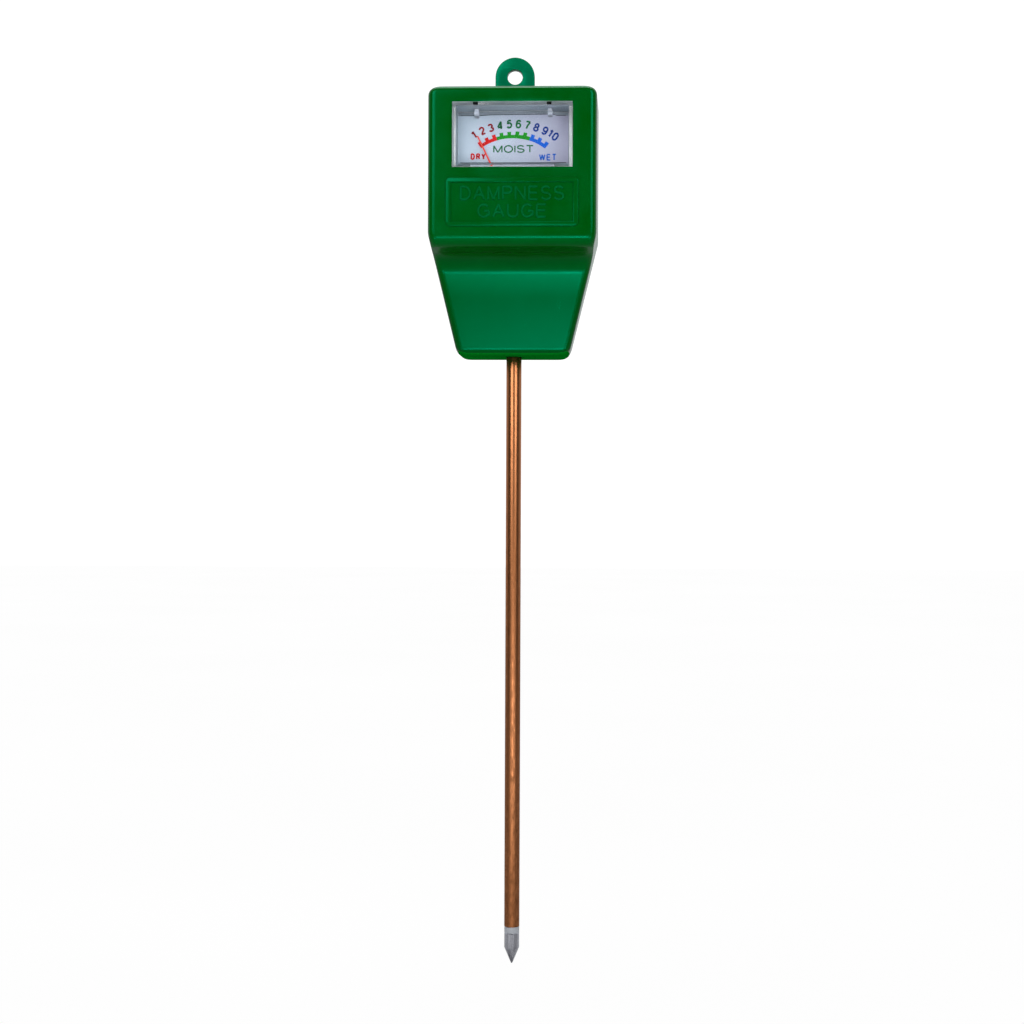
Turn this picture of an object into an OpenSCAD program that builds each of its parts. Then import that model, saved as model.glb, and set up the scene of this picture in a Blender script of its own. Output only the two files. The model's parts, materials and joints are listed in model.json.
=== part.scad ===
// Soil moisture meter: a moulded case with a moving-coil meter, on a two-electrode probe.
// Millimetres. +Z up, +X to the right of someone reading the dial, who looks along +Y.
// The origin is on the probe's axis, where the probe enters the case.

/* [Case] */
// Width of the case at its parting plane
case_width = 55.2; // [54.8:0.2:58]
// Height of the case above the probe's entry
case_height = 84; // [84:0.2:88]
// Width at the foot of the tapered grip
base_width = 37; // [36:0.2:40]
// Height at which the sides start to taper
shoulder_height = 38; // [36:0.5:40]
// Depth in front of the parting plane
front_depth = 24; // [23.8:0.1:24.4]
// Depth behind the parting plane
back_depth = 12; // [11.8:0.1:14]
// Wall thickness of the mouldings
wall = 2; // [1.8:0.1:2.1]
// Radius of the hole in the hanging tab
tab_hole_radius = 2.5; // [2:0.1:3]

/* [Dial] */
// Width of the window
window_width = 38.2; // [37:0.1:38.6]
// Height of the window
window_height = 20.8; // [20:0.1:21]
// Height of the window's middle
window_z = 68.4; // [68.2:0.1:68.6]
// Height of the needle's axis
pivot_z = 45.6; // [45.4:0.1:45.8]
// Length of the needle from its axis
needle_length = 26.6; // [24:0.1:27.5]
// Angle of the needle at rest, from upright
needle_rest = -25.5; // [-27:0.1:-24]
// Turn of the needle from rest to the last mark
needle_span = 52.6; // [50:0.1:53]

/* [Probe] */
// Length of the probe below the case
probe_length = 200; // [150:5:300]
// Outer radius of the probe tube
tube_radius = 2.5; // [2.4:0.05:2.6]
// Length of the tip electrode
tip_length = 10.1; // [8:0.1:12]
// Length of the insulating ring that shows
ring_length = 2.1; // [1.5:0.1:3]

/* [Hidden] */
$fn = 48;

// Planes across the depth; the two mouldings meet at y = 0, on the probe's axis
front_y = -front_depth;
back_y = back_depth;
past = 1;      // how far a cutting shape runs past what it cuts
snug = 0.1;    // gap round a piece that drops into place

// Corners of the case seen from the front, and their radii
case_corners = [
    [-base_width / 2, 0], [base_width / 2, 0],
    [case_width / 2, shoulder_height], [case_width / 2, case_height],
    [-case_width / 2, case_height], [-case_width / 2, shoulder_height]
];
case_radii = [3.4, 3.4, 18, 3, 3, 18];

// Corners of the case seen from its side, as [y, z]: back, top, lip, cove and grip, and their radii
side_corners = [
    [back_y, 0], [back_y, case_height], [front_y, case_height],
    [front_y, 34.6], [-12.3, 31.6], [-10, 0]
];
side_radii = [2, 2, 2, 2.4, -7, 2];   // the cove is hollow, so its radius is negative

// Corners of the head seen from above, as [x, y]: its sides slope in from the parting plane
front_draft = 0.85;
back_draft = 0.5;
plan_corners = [
    [front_draft - case_width / 2, front_y], [case_width / 2 - front_draft, front_y],
    [case_width / 2, 0], [case_width / 2 - back_draft, back_y],
    [back_draft - case_width / 2, back_y], [-case_width / 2, 0]
];
plan_radii = [2.2, 2.2, 0, 2, 2, 0];

// Raised frame under the window
plaque_z = 47;
plaque_size = [42.1, 15.5];
plaque_inner = [38.7, 12.4];
plaque_height = 0.5;

// Hanging tab, on the back cover at the parting plane
tab_z = case_height + 8.6;
tab_radius = 6.5;
tab_thickness = 3;

// Screws of the case, as [x, z]
upper_boss = [22.4, case_height - 5.1];
lower_boss = [13, 4.9];
boss_radius = 3;
boss_front = [-9.8, -8.6];    // where the upper and lower bosses start
cover_screw_radius = 1.25;
cover_screw_length = 15;
cover_head_radius = 2.7;
cover_head_height = 1.3;
cover_head_depth = 1.7;
rim_height = 1.6;             // the cover's rim that fits inside the front housing
rim_wall = 1.2;

// Screws that hold the meter against the front housing, as [x, z]
meter_boss = [18.6, 48.5];
meter_boss_radius = 2.4;
meter_screw_radius = 1;

// Ribs of both mouldings that hold the probe tube
rib_half = 6;
rib_z = [8.6, 10.8];

// Meter, from the front: cover, needle, card, base and cup
cover_front = front_y + wall + 0.2;
cover_wall = 1.1;
lens_front = front_y - 0.3;
base_front = -13.6;
base_back = -11.6;
base_top = 80.7;
base_foot = 38.4;
base_waist = 53.3;
base_half = 21.8;
lobe_half = 14.5;       // half width of the cover's lower part, over the movement
lobe_foot = 38;
cup_radius = 9.8;
cup_back = 1.4;
ring_front = -11.1;
ring_back = -3.1;
ring_radius = 8.6;
ring_bore = 6.2;
core_radius = 4;
seat_radius = 8.65;
card_thickness = 0.4;
card_bottom = 54.6;
card_top = 77.45;
card_half = 17.8;
rivet = [11.5, 56.6];
rivet_radius = 0.6;
peg_x = 11.65;          // the clear pegs that keep the card down
peg_half = 0.72;
peg_front = -18;
peg_drop = 2.1;
slot_height = 0.65;
stop_orbit = 8.4;
stop_radius = 0.4;
stop_spare = 2;         // degrees of travel past each end of the scale
stop_lead = 4.8;        // degrees between the needle's middle and a stop that it touches

// Moving coil, along its axis
needle_y = [-15.55, -15.25];
arms_y = [-15.1, -14.8];
coil_front = -12.6;
coil_back = -1;
winding = 0.7;
former_wall = 0.3;
coil_half_width = 5.5;
coil_half_depth = 1.7;
pivot_radius = 0.4;
bearing_bore = 0.45;
bearing_radius = 1;
collet_radius = 0.95;
spring_width = 0.3;
front_spring_y = [-16.05, -15.75];
rear_spring_y = [-0.25, 0.05];
bridge_y = [-17.2, -16.6];
pillar_x = 11.3;
rear_screw_x = 8.2;

// Probe, down its axis
groove_radius = 2.2;    // swaged groove that the case grips
tube_bore = 2;
tube_top = 15;
ring_top = -(probe_length - tip_length - ring_length);
tip_top = -(probe_length - tip_length);
tip_radius = 2.45;
cone_length = 5.3;
rod_radius = 1;
rod_top = 22;
rod_grip = 4.5;         // how far the core rod reaches into the tip
sleeve_radius = 1.6;
spigot_length = 5.7;

// Routes of the leads from the meter's terminals to the tags on the probe
lead_radius = 0.6;
terminal = [12.5, 61.5];
terminal_end = -6.5;
tube_route = [[-12.5, -6.4, 61.5], [-12.9, -4.4, 60.9], [-14, -1.4, 56.5], [-14.2, 0.8, 47], [-13.4, 1.4, 36],
    [-11.6, 1.4, 26], [-9.4, 1.2, 19], [-7.9, 1.1, 15], [-7.2, 0.9, 13.2]];
rod_route = [[12.5, -6.4, 61.5], [12.9, -4.4, 60.9], [14, -1.4, 56.5], [14.2, 0.8, 47], [13.4, 1.4, 36],
    [11.8, 1.2, 28], [10, 0.7, 21.8], [8.6, 0.4, 18.8], [7.2, 0.2, 17.7]];

// Routes of the bare wires from the two bridges to the meter's terminals
link_radius = 0.3;
front_link = [[-11.3, -10.7, 46.6], [-12.2, -10.2, 49], [-13.2, -10, 54], [-12.9, -10, 58.2],
    [-12.5, -10.3, 60.2]];
rear_link = [[9.9, 1.7, 45.6], [11, 1, 47.5], [12.6, -2, 52], [12.9, -6, 57], [12.5, -8.5, 59.6]];

// ---- Outlines ----

function unit(v) = v / norm(v);
function cross2(a, b) = a.x * b.y - a.y * b.x;
function left_of(a, b) = let (d = unit(b - a)) [-d.y, d.x];
function wrap(i, n) = (i + n) % n;

// Points of an arc that rounds corner b between a and c
function corner_arc(a, b, c, r, steps = 8) =
    let (
        u = unit(a - b), v = unit(c - b), half = acos(u * v) / 2,
        middle = b + unit(u + v) * r / sin(half),
        p = b + u * r / tan(half) - middle,
        q = b + v * r / tan(half) - middle,
        start = atan2(p.y, p.x),
        turn = (atan2(q.y, q.x) - start + 900) % 360 - 180
    )
    [for (i = [0:steps]) middle + r * [cos(start + turn * i / steps), sin(start + turn * i / steps)]];

// An outline with its corners rounded; a corner whose radius is negative is a hollow one
function rounded(points, radii) =
    let (n = len(points))
    [for (i = [0:n - 1])
        each radii[i] == 0
            ? [points[i]]
            : corner_arc(points[wrap(i - 1, n)], points[i], points[wrap(i + 1, n)], abs(radii[i]))];

// The corners moved inwards by d, for an outline that runs anticlockwise
function inset(points, d) =
    let (n = len(points))
    [for (i = [0:n - 1])
        let (
            a = points[wrap(i - 1, n)], b = points[i], c = points[wrap(i + 1, n)],
            p = b + left_of(a, b) * d, q = b + left_of(b, c) * d,
            u = unit(b - a), v = unit(c - b)
        )
        p + u * cross2(q - p, v) / cross2(u, v)];

least_radius = 0.5;
function inset_radii(radii, d) =
    [for (r = radii) r == 0 ? 0 : r > 0 ? max(r - d, least_radius) : r - d];
function drawn_in(points, radii, d) = rounded(inset(points, d), inset_radii(radii, d));
function box(x, z0, z1) = [[-x, z0], [x, z0], [x, z1], [-x, z1]];
function around(size, z) = box(size.x / 2, z - size.y / 2, z + size.y / 2);
function evenly(r) = [r, r, r, r];
function case_outline(d) = drawn_in(case_corners, case_radii, d);

// ---- Solids from outlines ----

// A flat outline in x and z, given depth from y0 to y1
module slab(points, y0, y1) {
    translate([0, y1, 0]) rotate([90, 0, 0]) linear_extrude(y1 - y0) polygon(points);
}

// A side outline in y and z, given width from -half to half
module across(points, half) {
    translate([-half, 0, 0]) rotate([90, 0, 90]) linear_extrude(2 * half) polygon(points);
}

// A plan outline in x and y, given height from z0 to z1
module upright(points, z0, z1) {
    translate([0, 0, z0]) linear_extrude(z1 - z0) polygon(points);
}

// A rod along y at [x, z]
module bar(at, r, y0, y1) {
    translate([at.x, y1, at.y]) rotate([90, 0, 0]) cylinder(r = r, h = y1 - y0);
}

// A rod along z from z0 to z1
module post(r, z0, z1) {
    translate([0, 0, z0]) cylinder(r = r, h = z1 - z0);
}

module mirrored() {
    children();
    mirror([1, 0, 0]) children();
}

// A cross-headed screw along y: its head faces +y and is seated at y, and its shank runs back
module screw(at, y, r, length, head_r, head_h) {
    cross_length = head_r * 1.3;
    cross_width = head_r * 0.28;
    difference() {
        union() {
            bar(at, r, y - length, y);
            bar(at, head_r, y, y + head_h);
        }
        for (turn = [0, 90])
            translate([at.x, y + head_h, at.y]) rotate([0, turn, 0])
                cube([cross_length, head_h, cross_width], center = true);
    }
}

// ---- Case ----

// The case's form, drawn in by d, between two planes across its depth
module case_solid(d, y0, y1) {
    intersection() {
        slab(case_outline(d), y0, y1);
        across(drawn_in(side_corners, side_radii, d), case_width);
        upright(drawn_in(plan_corners, plan_radii, d), -past, case_height + past);
    }
}

module case_shell(y0, y1, inner0, inner1) {
    difference() {
        case_solid(0, y0, y1);
        case_solid(wall, inner0, inner1);
    }
}

// A rib across the grip that the probe tube rests in
module rib(y0, y1) {
    translate([-rib_half, y0, rib_z[0]]) cube([2 * rib_half, y1 - y0, rib_z[1] - rib_z[0]]);
}

// The space that the probe tube takes in the mouldings
module tube_way() {
    post(groove_radius + snug / 2, -past, wall + past);
    post(tube_radius, wall, tube_top);
}

module window_way() {
    slab(around([window_width, window_height], window_z), front_y - past, front_y + wall + past);
}

module plaque() {
    difference() {
        slab(rounded(around(plaque_size, plaque_z), evenly(1.3)),
            front_y - plaque_height, front_y + wall / 2);
        slab(around(plaque_inner, plaque_z), front_y - past, front_y);
    }
}

module front_housing() color("darkgreen") {
    difference() {
        union() {
            case_shell(front_y - past, 0, front_y - past, past);
            intersection() {
                union() {
                    mirrored() {
                        bar(upper_boss, boss_radius, boss_front[0], 0);
                        bar(lower_boss, boss_radius, boss_front[1], 0);
                        bar(meter_boss, meter_boss_radius, front_y + wall / 2, base_front);
                    }
                    rib(front_y, 0);
                }
                case_solid(wall / 2, front_y, 0);
            }
            plaque();
        }
        window_way();
        tube_way();
        mirrored() {
            bar(upper_boss, cover_screw_radius, boss_front[0] + past, past);
            bar(lower_boss, cover_screw_radius, boss_front[1] + past, past);
            bar(meter_boss, meter_screw_radius, front_y + wall, base_front + past);
        }
    }
}

module hanging_tab() {
    difference() {
        union() {
            bar([0, tab_z], tab_radius, 0, tab_thickness);
            slab(box(tab_radius, case_height - wall, tab_z), 0, tab_thickness);
        }
        bar([0, tab_z], tab_hole_radius, -past, tab_thickness + past);
    }
}

// The rim that keeps the two mouldings in line
module cover_rim() {
    difference() {
        slab(case_outline(wall + snug + 0.05), -rim_height, past);
        slab(case_outline(wall + rim_wall), -rim_height - past, 2 * past);
        mirrored() for (at = [upper_boss, lower_boss])
            bar(at, boss_radius + 0.4, -rim_height - past, 0);
    }
}

module back_cover() color("darkgreen") {
    seat = back_y - cover_head_depth;
    column_radius = cover_head_radius + 1.5;
    difference() {
        union() {
            case_shell(0, back_y + past, -past, back_y);
            cover_rim();
            intersection() {
                union() {
                    mirrored() for (at = [upper_boss, lower_boss])
                        bar(at, column_radius, 0, back_y);
                    rib(0, back_y);
                }
                case_solid(wall / 2, 0, back_y);
            }
        }
        tube_way();
        post(tube_radius + 0.3, wall, rib_z[0]);
        mirrored() for (at = [upper_boss, lower_boss]) {
            bar(at, cover_screw_radius + 0.3, -past, seat + past);
            bar(at, cover_head_radius + 0.2, seat, back_y + past);
        }
    }
    hanging_tab();
}

module cover_screws() color("silver") {
    mirrored() for (at = [upper_boss, lower_boss])
        screw(at, back_y - cover_head_depth, cover_screw_radius, cover_screw_length,
            cover_head_radius, cover_head_height);
}

// ---- Meter ----

module at_pivot() {
    translate([0, 0, pivot_z]) children();
}

module turned() {
    at_pivot() rotate([0, needle_rest, 0]) children();
}

lens_gap = 0.1;
lens = [window_width - 2 * lens_gap, window_height - 2 * lens_gap];
lens_top = window_z + lens.y / 2;
lens_bottom = window_z - lens.y / 2;

// The clear cover as a solid, drawn in by d all round
module cover_solid(d) {
    slab(inset(around(lens, window_z), d), lens_front + d, base_front);
    slab(inset(box(lobe_half, lobe_foot, lens_bottom + 4), d), cover_front + d, base_front);
}

module pegs() {
    mirrored() translate([peg_x - peg_half, peg_front, lens_top - cover_wall - peg_drop])
        cube([2 * peg_half, base_front - card_thickness - peg_front, peg_drop + cover_wall / 2]);
}

module meter_cover() color("lightcyan") {
    slot_depth = 2;
    difference() {
        cover_solid(0);
        difference() {
            cover_solid(cover_wall);
            pegs();
        }
        slot_z = lens_top - cover_wall / 2 - slot_height / 2;
        mirrored() translate([peg_x - peg_half, lens_front - past, slot_z])
            cube([2 * peg_half, past + slot_depth, slot_height]);
    }
}

module meter_base() color("gainsboro") {
    coil_room = 7.4;
    rear_room = 6.8;
    floor_back = cup_back - 0.8;
    difference() {
        union() {
            slab(rounded(box(base_half, base_waist, base_top), evenly(1)), base_front, base_back);
            slab(box(base_half, base_foot, base_waist + past), base_front, base_back);
            bar([0, pivot_z], cup_radius, base_front, cup_back);
        }
        bar([0, pivot_z], seat_radius, base_front - past, ring_back);
        bar([0, pivot_z], coil_room, ring_back - past, floor_back);
        bar([0, pivot_z], rear_room, floor_back - past, cup_back + past);
        mirrored() {
            bar(meter_boss, meter_screw_radius + 0.2, base_front - past, base_back + past);
            bar(rivet, rivet_radius, base_front - past, base_back + past);
            bar(terminal, 0.9, base_front - past, base_back + past);
            bar([pillar_x, pivot_z], 0.8, base_front - past, base_back + past);
            bar([rear_screw_x, pivot_z], 0.5, cup_back - past, cup_back + past);
        }
    }
}

module meter_screws() color("silver") {
    mirrored() screw(meter_boss, base_back, meter_screw_radius, 6.5, 2, 1.2);
}

// The card is narrower below the window, where it goes down into the cover's lower part
card_step = lens_bottom + cover_wall + snug;
card_foot_half = lobe_half - cover_wall - snug;
card_outline = [
    [-card_foot_half, card_bottom], [card_foot_half, card_bottom], [card_foot_half, card_step],
    [card_half, card_step], [card_half, card_top], [-card_half, card_top],
    [-card_half, card_step], [-card_foot_half, card_step]
];

module dial_card() color("white") {
    difference() {
        slab(card_outline, base_front - card_thickness, base_front);
        mirrored() bar(rivet, rivet_radius, base_front - past, base_front + past);
    }
}

module dial_rivets() color("silver") {
    card_front = base_front - card_thickness;
    mirrored() {
        bar(rivet, 1, card_front - 0.3, card_front);
        bar(rivet, rivet_radius, card_front, base_back);
    }
}

module meter_terminals() color("goldenrod") {
    mirrored() {
        bar(terminal, 0.9, base_front, terminal_end);
        bar(terminal, 1.5, base_back, base_back + 0.6);
    }
}

// ---- Fixed magnet system ----

module yoke_ring() color("dimgray") at_pivot() {
    difference() {
        bar([0, 0], ring_radius, ring_front, ring_back);
        bar([0, 0], ring_bore, ring_front - past, ring_back + past);
    }
}

module core_magnet() color("slategray") at_pivot() {
    bar([0, 0], core_radius, ring_front, ring_back);
}

module core_bracket() color("goldenrod") at_pivot() {
    slab(box(1.8, -7.1, 7.1), ring_back, ring_back + 0.6);
}

// ---- Bridges and bearings ----

module front_bridge() color("goldenrod") at_pivot() {
    difference() {
        slab(rounded(box(pillar_x + 1.7, -2.2, 2.2), evenly(2)), bridge_y[0], bridge_y[1]);
        bar([0, 0], bearing_radius, bridge_y[0] - past, bridge_y[1] + past);
        mirrored() bar([pillar_x, 0], 0.6, bridge_y[0] - past, bridge_y[1] + past);
    }
}

module bridge_pillars() color("goldenrod") at_pivot() {
    mirrored() difference() {
        union() {
            bar([pillar_x, 0], 1.4, bridge_y[1], base_front);
            bar([pillar_x, 0], 0.8, base_front, base_back + 0.5);
        }
        bar([pillar_x, 0], 0.6, bridge_y[1] - past, base_front - 0.4);
    }
}

module bridge_screws() color("silver") at_pivot() {
    mirrored() mirror([0, 1, 0]) screw([pillar_x, 0], -bridge_y[0], 0.6, 2.8, 1.2, 0.4);
}

// A screw with a plain cup in its end, in which a pivot turns
module bearing(y0, y1, cup0, cup1) {
    difference() {
        bar([0, 0], bearing_radius, y0, y1);
        bar([0, 0], bearing_bore, cup0, cup1);
    }
}

module front_bearing() color("gold") at_pivot() bearing(-17.6, -16.2, -17, -16.2 + past);

module rear_bearing() color("gold") at_pivot() bearing(0.8, 2.7, 0.8 - past, 1.7);

// The arm behind the front bridge that the front spring's outer end is soldered to
module spring_anchor() color("silver") at_pivot() {
    plate = [bridge_y[1] + 0.05, -16.25];
    difference() {
        union() {
            bar([0, 0], 2, plate[0], plate[1]);
            slab(box(0.6, 0, 5.2), plate[0], plate[1]);
            slab(box(0.6, 4.2, 4.8), plate[1] - 0.05, front_spring_y[1]);
        }
        bar([0, 0], bearing_radius + 0.05, plate[0] - past, plate[1] + past);
    }
}

module rear_bridge() color("goldenrod") at_pivot() {
    bridge_back = cup_back + 0.7;
    difference() {
        union() {
            slab(rounded(box(rear_screw_x + 1.3, -2.2, 2.2), evenly(2)), cup_back, bridge_back);
            slab(box(0.6, -4.8, 0), cup_back, bridge_back);
            slab(box(0.6, -4.8, -4.2), rear_spring_y[0], bridge_back);
        }
        bar([0, 0], bearing_radius, cup_back - past, bridge_back + past);
        mirrored() bar([rear_screw_x, 0], 0.6, cup_back - past, bridge_back + past);
    }
}

module rear_bridge_screws() color("silver") at_pivot() {
    mirrored() screw([rear_screw_x, 0], cup_back + 0.7, 0.5, 1.5, 1.1, 0.6);
}

// A flat spiral spring of three turns that ends straight up, from the collet to its anchor
spring_turns = 3;
spring_end = 4.2 - spring_width / 2;
function spiral(side) =
    let (steps = spring_turns * 24, start = collet_radius + spring_width / 2 + 0.02)
    [for (i = [0:steps])
        let (
            a = 90 - spring_turns * 360 + i * 15,
            r = start + (spring_end - start) * i / steps + side * spring_width / 2
        )
        r * [cos(a), sin(a)]];

function spring_outline() =
    let (outer = spiral(1), n = len(outer)) concat(spiral(-1), [for (i = [n - 1:-1:0]) outer[i]]);

module front_hairspring() color("peru") at_pivot() {
    slab(spring_outline(), front_spring_y[0], front_spring_y[1]);
}

module rear_hairspring() color("peru") at_pivot() {
    rotate([0, 180, 0]) mirror([1, 0, 0]) slab(spring_outline(), rear_spring_y[0], rear_spring_y[1]);
}

module needle_stops() color("silver") at_pivot() {
    for (a = [needle_rest - stop_spare - stop_lead, needle_rest + needle_span + stop_spare + stop_lead])
        bar(stop_orbit * [sin(a), cos(a)], stop_radius, needle_y[0] - 0.45, base_front);
}

// ---- Moving system ----

module needle() color("red") turned() {
    difference() {
        union() {
            bar([0, 0], 1.5, needle_y[0], needle_y[1]);
            slab([[-0.35, 0], [0.35, 0], [0.22, needle_length], [-0.22, needle_length]],
                needle_y[0], needle_y[1]);
        }
        bar([0, 0], pivot_radius, needle_y[0] - past, needle_y[1] + past);
    }
}

arm_half = 0.3;
side_arm = 4.6;
tail_arm = 5.2;

module arm_slabs() {
    slab(box(side_arm, -arm_half, arm_half), arms_y[0], arms_y[1]);
    slab(box(arm_half, -tail_arm, 0), arms_y[0], arms_y[1]);
}

module balance_arms() color("silver") turned() {
    difference() {
        union() {
            bar([0, 0], 1.2, needle_y[1], arms_y[1]);
            arm_slabs();
        }
        bar([0, 0], pivot_radius, needle_y[0] - past, arms_y[1] + past);
    }
}

// Weights slid onto the arms, with a slot that the arm fills
module balance_weights() color("darkkhaki") turned() {
    mid = (arms_y[0] + arms_y[1]) / 2;
    difference() {
        union() {
            translate([0, mid, -5]) cylinder(r = 0.6, h = 1.6);
            mirrored() translate([2.8, mid, 0]) rotate([0, 90, 0]) cylinder(r = 0.6, h = 1.2);
        }
        arm_slabs();
    }
}

module front_pivot() color("lightgray") turned() {
    bar([0, 0], pivot_radius, -16.8, coil_front);
    difference() {
        bar([0, 0], collet_radius, -16.1, needle_y[0]);
        bar([0, 0], pivot_radius, -17, needle_y[0] + past);
    }
}

module rear_pivot() color("lightgray") turned() {
    bar([0, 0], pivot_radius, coil_back, 1.5);
    bar([0, 0], collet_radius, coil_back, 0.2);
}

// A rectangular hoop round the core, from y0 to y1 and out to half_width, t thick
module hoop(half_width, y0, y1, t) {
    difference() {
        translate([-half_width, y0, -coil_half_depth]) cube([2 * half_width, y1 - y0, 2 * coil_half_depth]);
        translate([t - half_width, y0 + t, -coil_half_depth - past])
            cube([2 * (half_width - t), y1 - y0 - 2 * t, 2 * coil_half_depth + 2 * past]);
    }
}

module moving_coil() color("chocolate") turned() {
    hoop(coil_half_width, coil_front, coil_back, winding);
}

module coil_former() color("silver") turned() {
    hoop(coil_half_width - winding, coil_front + winding, coil_back - winding, former_wall);
}

// ---- Probe ----

module probe_tube() color("peru") {
    neck_bore = tube_bore - 0.3;
    difference() {
        union() {
            post(tube_radius, ring_top, 0);
            post(groove_radius, 0, wall);
            post(tube_radius, wall, tube_top);
        }
        post(tube_bore, ring_top - past, -0.5);
        post(neck_bore, -0.6, wall + 0.6);
        post(tube_bore, wall + 0.5, tube_top + past);
    }
}

module insulator_ring() color("whitesmoke") {
    difference() {
        union() {
            post(tip_radius, tip_top, ring_top);
            post(tube_bore, ring_top, ring_top + spigot_length);
        }
        post(rod_radius, tip_top - past, ring_top + spigot_length + past);
    }
}

module tip_electrode() color("lightslategray") {
    point_radius = 0.25;
    difference() {
        union() {
            post(tip_radius, -probe_length + cone_length, tip_top);
            translate([0, 0, -probe_length]) cylinder(r1 = point_radius, r2 = tip_radius, h = cone_length);
        }
        post(rod_radius, tip_top - rod_grip, tip_top + past);
    }
}

module core_rod() color("darkgray") {
    post(rod_radius, tip_top - rod_grip, rod_top);
}

bush_flange = 1.5;

module core_sleeve() color("ivory") {
    difference() {
        post(sleeve_radius, ring_top + spigot_length, tube_top + bush_flange);
        post(rod_radius, ring_top, tube_top + 2 * bush_flange);
    }
}

module top_bush() color("whitesmoke") {
    difference() {
        union() {
            post(tube_bore, tube_top - 4, tube_top);
            post(3.4, tube_top, tube_top + bush_flange);
        }
        post(sleeve_radius, tube_top - 5, tube_top + 2 * bush_flange);
    }
}

tag_z = tube_top + bush_flange;
tag_thickness = 0.5;
tag_reach = 8;

module rod_tag() color("goldenrod") {
    difference() {
        union() {
            post(2.8, tag_z, tag_z + tag_thickness);
            translate([0, -1, tag_z]) cube([tag_reach, 2, tag_thickness]);
        }
        post(rod_radius, tag_z - past, tag_z + past);
    }
}

module rod_nut() color("silver") {
    difference() {
        translate([0, 0, tag_z + tag_thickness]) cylinder(r = 2.3, h = 1.7, $fn = 6);
        post(rod_radius, tag_z, tag_z + 3);
    }
}

module tube_tag() color("goldenrod") {
    band = [12.6, 14];
    difference() {
        union() {
            post(3.3, band[0], band[1]);
            translate([-tag_reach, -0.25, band[0]]) cube([tag_reach, 0.5, band[1] - band[0]]);
        }
        post(tube_radius + 0.02, band[0] - past, tube_top);
    }
}

// ---- Leads ----

// A smooth curve through the route's points
function smooth(p, i, t) =
    let (
        n = len(p) - 1,
        a = p[max(i - 1, 0)], b = p[i], c = p[i + 1], d = p[min(i + 2, n)]
    )
    0.5 * (2 * b + (c - a) * t + (2 * a - 5 * b + 4 * c - d) * t * t + (3 * b - a - 3 * c + d) * t * t * t);

function curve(p, per) =
    concat([for (i = [0:len(p) - 2]) for (k = [0:per - 1]) smooth(p, i, k / per)], [p[len(p) - 1]]);

// A round wire swept along a route
module lead(route, radius, sides = 8) {
    path = curve(route, 4);
    n = len(path);
    side_way = [0, 1, 0];
    rings = [for (i = [0:n - 1])
        let (
            way = unit(path[min(i + 1, n - 1)] - path[max(i - 1, 0)]),
            u = abs(way.y) > 0.9 ? unit(cross(way, [0, 0, 1])) : unit(cross(way, side_way)),
            v = cross(way, u)
        )
        for (k = [0:sides - 1])
            path[i] + radius * (u * cos(360 * k / sides) + v * sin(360 * k / sides))];
    walls = [for (i = [0:n - 2]) for (k = [0:sides - 1])
        let (a = i * sides + k, b = i * sides + (k + 1) % sides)
        [a, b, b + sides, a + sides]];
    ends = [[for (k = [sides - 1:-1:0]) k], [for (k = [0:sides - 1]) (n - 1) * sides + k]];
    polyhedron(rings, concat(walls, ends));
}

module tube_lead() color("firebrick") lead(tube_route, lead_radius);

module rod_lead() color("black") lead(rod_route, lead_radius);

module link_wires() color("sienna") {
    lead(front_link, link_radius);
    lead(rear_link, link_radius);
}

// ---- The assembly ----

front_housing();
back_cover();
cover_screws();
meter_cover();
meter_base();
meter_screws();
dial_card();
dial_rivets();
meter_terminals();
yoke_ring();
core_magnet();
core_bracket();
front_bridge();
bridge_pillars();
bridge_screws();
front_bearing();
spring_anchor();
front_hairspring();
rear_bridge();
rear_bridge_screws();
rear_bearing();
rear_hairspring();
needle_stops();
needle();
balance_arms();
balance_weights();
front_pivot();
rear_pivot();
coil_former();
moving_coil();
probe_tube();
insulator_ring();
tip_electrode();
core_rod();
core_sleeve();
top_bush();
rod_tag();
rod_nut();
tube_tag();
tube_lead();
rod_lead();
link_wires();
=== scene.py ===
import json
import math

import bmesh
import bpy
from mathutils import Matrix, Vector


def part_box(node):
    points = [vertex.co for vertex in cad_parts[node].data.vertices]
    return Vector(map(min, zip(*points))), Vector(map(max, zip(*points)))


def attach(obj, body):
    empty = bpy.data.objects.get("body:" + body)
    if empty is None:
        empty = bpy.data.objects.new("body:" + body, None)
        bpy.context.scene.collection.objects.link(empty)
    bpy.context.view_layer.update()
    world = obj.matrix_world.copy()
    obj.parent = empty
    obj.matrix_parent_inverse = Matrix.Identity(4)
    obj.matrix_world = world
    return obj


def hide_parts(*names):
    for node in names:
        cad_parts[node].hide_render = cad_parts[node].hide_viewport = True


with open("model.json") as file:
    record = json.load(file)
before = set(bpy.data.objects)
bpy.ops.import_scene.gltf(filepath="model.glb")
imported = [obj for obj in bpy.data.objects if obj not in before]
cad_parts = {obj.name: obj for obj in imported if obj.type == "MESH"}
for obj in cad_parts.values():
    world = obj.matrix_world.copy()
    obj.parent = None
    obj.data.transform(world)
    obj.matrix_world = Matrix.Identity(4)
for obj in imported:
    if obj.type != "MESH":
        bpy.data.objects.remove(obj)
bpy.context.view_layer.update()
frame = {"nodes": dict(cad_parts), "record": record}

# ---- Front moulding ----
# The front half of the case: a green polystyrene shell moulded in one shot, with a deep
# head, a rounded lip and a hollow cove under it, and a flat grip that tapers to its foot.
# It has the window for the meter and a raised name panel with plain words.

MM = 0.001


def box_of(node):
    """The lowest and highest corner of a CAD node, in millimetres."""
    low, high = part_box(node)
    return low / MM, high / MM


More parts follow.
